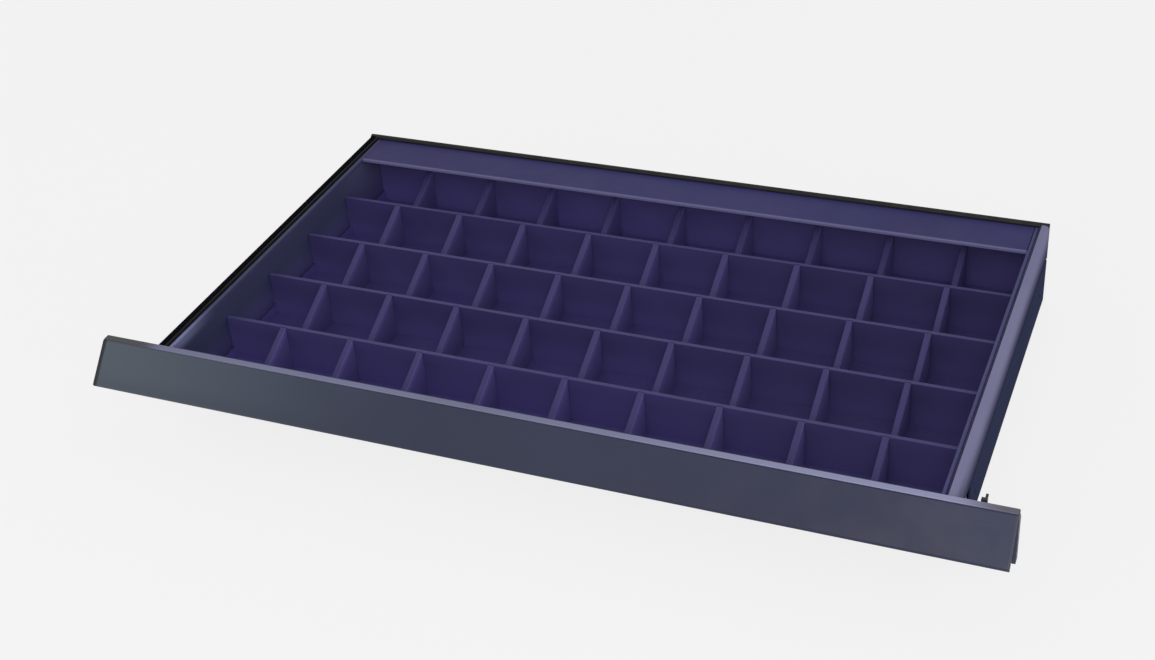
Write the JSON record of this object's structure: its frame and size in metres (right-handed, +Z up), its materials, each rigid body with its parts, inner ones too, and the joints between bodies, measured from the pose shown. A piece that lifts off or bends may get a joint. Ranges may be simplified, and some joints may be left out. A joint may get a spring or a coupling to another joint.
{
  "type": "compartment drawer",
  "caption": "Shallow wide steel drawer with a full-width sloped handle, lift-out compartment troughs with short dividers, a thumb catch and full-extension ball slides.",
  "frame": {"origin": "centre of the part's footprint, at the underside of the slides", "axes": "+X to the right as seen from the front, -Y out of the front (the way the drawer opens), +Z up"},
  "size_m": [0.688, 0.3861, 0.079],
  "materials": {
    "trough_plastic": "moulded, satin",
    "divider_plastic": "moulded, satin",
    "shell_paint": "powder coated, violet blue",
    "side_skin_paint": "powder coated, light lavender grey",
    "edge_trim": "extruded, black",
    "front_paint": "powder coated, anthracite",
    "cover_strip": "powder coated, light lavender grey",
    "fastener_steel": "zinc plated",
    "catch_metal": "black coated",
    "spring_steel": "drawn wire",
    "slide_dark": "dark coated",
    "slide_steel": "zinc plated",
    "cage_steel": "pressed strip",
    "ball_steel": "ground and polished",
    "bumper_rubber": "moulded"
  },
  "bodies": {
    "cabinet_side": {"left_cabinet_rail": "slide_dark", "right_cabinet_rail": "slide_dark", "rail_bumpers": "bumper_rubber"},
    "outer_cages": {"left_outer_ball_cage": "cage_steel", "right_outer_ball_cage": "cage_steel", "outer_balls": "ball_steel"},
    "middle_rails": {"left_middle_rail": "slide_steel", "right_middle_rail": "slide_steel"},
    "inner_cages": {"left_inner_ball_cage": "cage_steel", "right_inner_ball_cage": "cage_steel", "inner_balls": "ball_steel"},
    "drawer": {"trough_row_1": "trough_plastic", "dividers_row_1": "divider_plastic", "drawer_floor": "shell_paint", "left_inner_wall": "shell_paint", "right_inner_wall": "shell_paint", "rear_inner_wall": "shell_paint", "rear_ledge": "shell_paint", "rear_outer_skin": "shell_paint", "inner_front_wall": "shell_paint", "left_front_bracket": "shell_paint", "right_front_bracket": "shell_paint", "right_outer_skin": "side_skin_paint", "left_outer_skin": "side_skin_paint", "left_edge_trim": "edge_trim", "right_edge_trim": "edge_trim", "rear_edge_trim": "edge_trim", "front_plate": "front_paint", "front_end_returns": "front_paint", "handle_strip": "front_paint", "handle_ledge_strip": "front_paint", "handle_mount_strip": "front_paint", "front_cover_strip": "cover_strip", "handle_rivets": "fastener_steel", "front_screws": "fastener_steel", "rail_screws": "fastener_steel", "catch_pin": "fastener_steel", "catch_bracket": "catch_metal", "catch_spring": "spring_steel", "left_drawer_rail": "slide_steel", "right_drawer_rail": "slide_steel"},
    "catch": {"catch_lever": "catch_metal"},
    "row_2": {"trough_row_2": "trough_plastic", "dividers_row_2": "divider_plastic"},
    "row_3": {"trough_row_3": "trough_plastic", "dividers_row_3": "divider_plastic"},
    "row_4": {"trough_row_4": "trough_plastic", "dividers_row_4": "divider_plastic"},
    "row_5": {"trough_row_5": "trough_plastic", "dividers_row_5": "divider_plastic"}
  },
  "joints": [
    {"name": "drawer_slide", "type": "slide", "parent": "cabinet_side", "child": "drawer", "axis": [0, -1, 0], "range_m": [0, 0.3]},
    {"name": "middle_rail_slide", "type": "slide", "parent": "cabinet_side", "child": "middle_rails", "axis": [0, -1, 0], "range_m": [0, 0.15]},
    {"name": "outer_cage_roll", "type": "slide", "parent": "cabinet_side", "child": "outer_cages", "axis": [0, -1, 0], "range_m": [0, 0.075]},
    {"name": "inner_cage_roll", "type": "slide", "parent": "cabinet_side", "child": "inner_cages", "axis": [0, -1, 0], "range_m": [0, 0.225]},
    {"name": "row_2_lift", "type": "slide", "parent": "drawer", "child": "row_2", "axis": [0, 0, 1], "range_m": [0, 0.08]},
    {"name": "row_3_lift", "type": "slide", "parent": "drawer", "child": "row_3", "axis": [0, 0, 1], "range_m": [0, 0.08]},
    {"name": "row_4_lift", "type": "slide", "parent": "drawer", "child": "row_4", "axis": [0, 0, 1], "range_m": [0, 0.08]},
    {"name": "row_5_lift", "type": "slide", "parent": "drawer", "child": "row_5", "axis": [0, 0, 1], "range_m": [0, 0.08]},
    {"name": "catch_press", "type": "hinge", "parent": "drawer", "child": "catch", "pos_m": [0.3208, -0.154, 0.05], "axis": [-1, 0, 0], "range_deg": [0, 12], "stiffness_Nm_per_rad": 0.05, "springref_deg": -17.19}
  ],
  "couplings": [
    {"joint": "middle_rail_slide", "follows": "drawer_slide", "ratio": 0.5},
    {"joint": "outer_cage_roll", "follows": "drawer_slide", "ratio": 0.25},
    {"joint": "inner_cage_roll", "follows": "drawer_slide", "ratio": 0.75}
  ]
}
